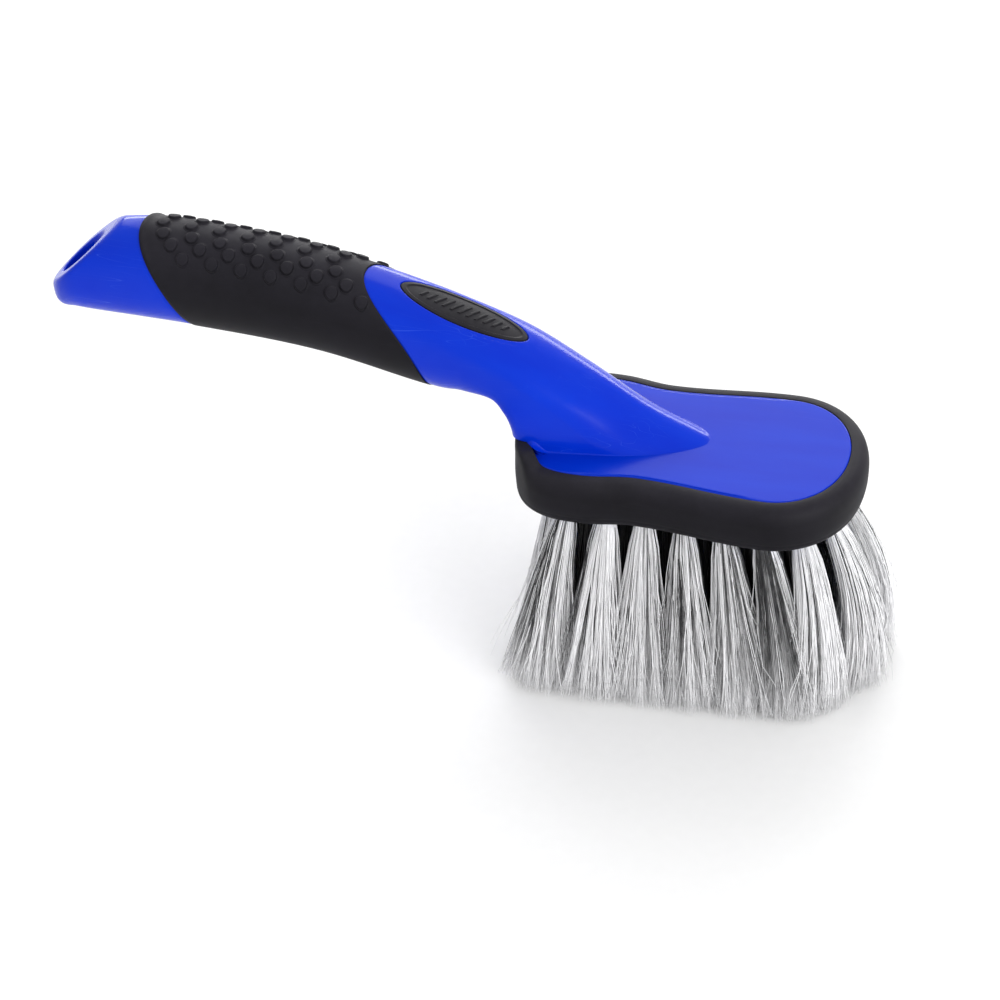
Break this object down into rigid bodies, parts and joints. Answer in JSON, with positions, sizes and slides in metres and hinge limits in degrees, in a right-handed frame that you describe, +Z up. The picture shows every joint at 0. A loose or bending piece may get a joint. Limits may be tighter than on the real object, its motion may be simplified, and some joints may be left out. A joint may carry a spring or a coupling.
{
  "type": "wheel brush",
  "caption": "Hand brush for washing wheels: curved handle with a soft dotted grip, padded oblong head and long, soft splayed bristle tufts.",
  "frame": {"origin": "middle of the plane of the bristle tips, under the middle of the head", "axes": "+X from the handle towards the front of the head, +Y to the left side of the head, +Z up through the block, so the handle points towards -X"},
  "size_m": [0.2894, 0.0904, 0.1416],
  "materials": {
    "blue_plastic": "satin",
    "soft_rubber": "matte",
    "badge_rubber": "matte",
    "anchor_wire": "satin",
    "light_bristle": "satin",
    "dark_bristle": "satin"
  },
  "bodies": {
    "root": {"brush_body": "blue_plastic", "grip_sleeve": "soft_rubber", "badge_inlay": "badge_rubber", "head_bumper": "soft_rubber", "tuft_anchors": "anchor_wire", "tuft_01": "light_bristle", "tuft_02": "light_bristle", "tuft_03": "light_bristle", "tuft_04": "light_bristle", "tuft_05": "light_bristle", "tuft_06": "light_bristle", "tuft_07": "light_bristle", "tuft_08": "light_bristle", "tuft_09": "light_bristle", "tuft_10": "light_bristle", "tuft_11": "light_bristle", "tuft_12": "light_bristle", "tuft_13": "light_bristle", "tuft_14": "light_bristle", "tuft_15": "light_bristle", "tuft_16": "light_bristle", "tuft_17": "light_bristle", "tuft_18": "light_bristle", "tuft_19": "light_bristle", "tuft_20": "dark_bristle", "tuft_21": "dark_bristle", "tuft_22": "dark_bristle", "tuft_23": "dark_bristle", "tuft_24": "dark_bristle", "tuft_25": "dark_bristle", "tuft_26": "dark_bristle", "tuft_27": "dark_bristle", "tuft_28": "dark_bristle", "tuft_29": "dark_bristle", "tuft_30": "dark_bristle", "tuft_31": "dark_bristle", "tuft_32": "dark_bristle", "tuft_33": "dark_bristle", "tuft_34": "dark_bristle", "tuft_35": "dark_bristle", "tuft_36": "dark_bristle"}
  },
  "joints": []
}
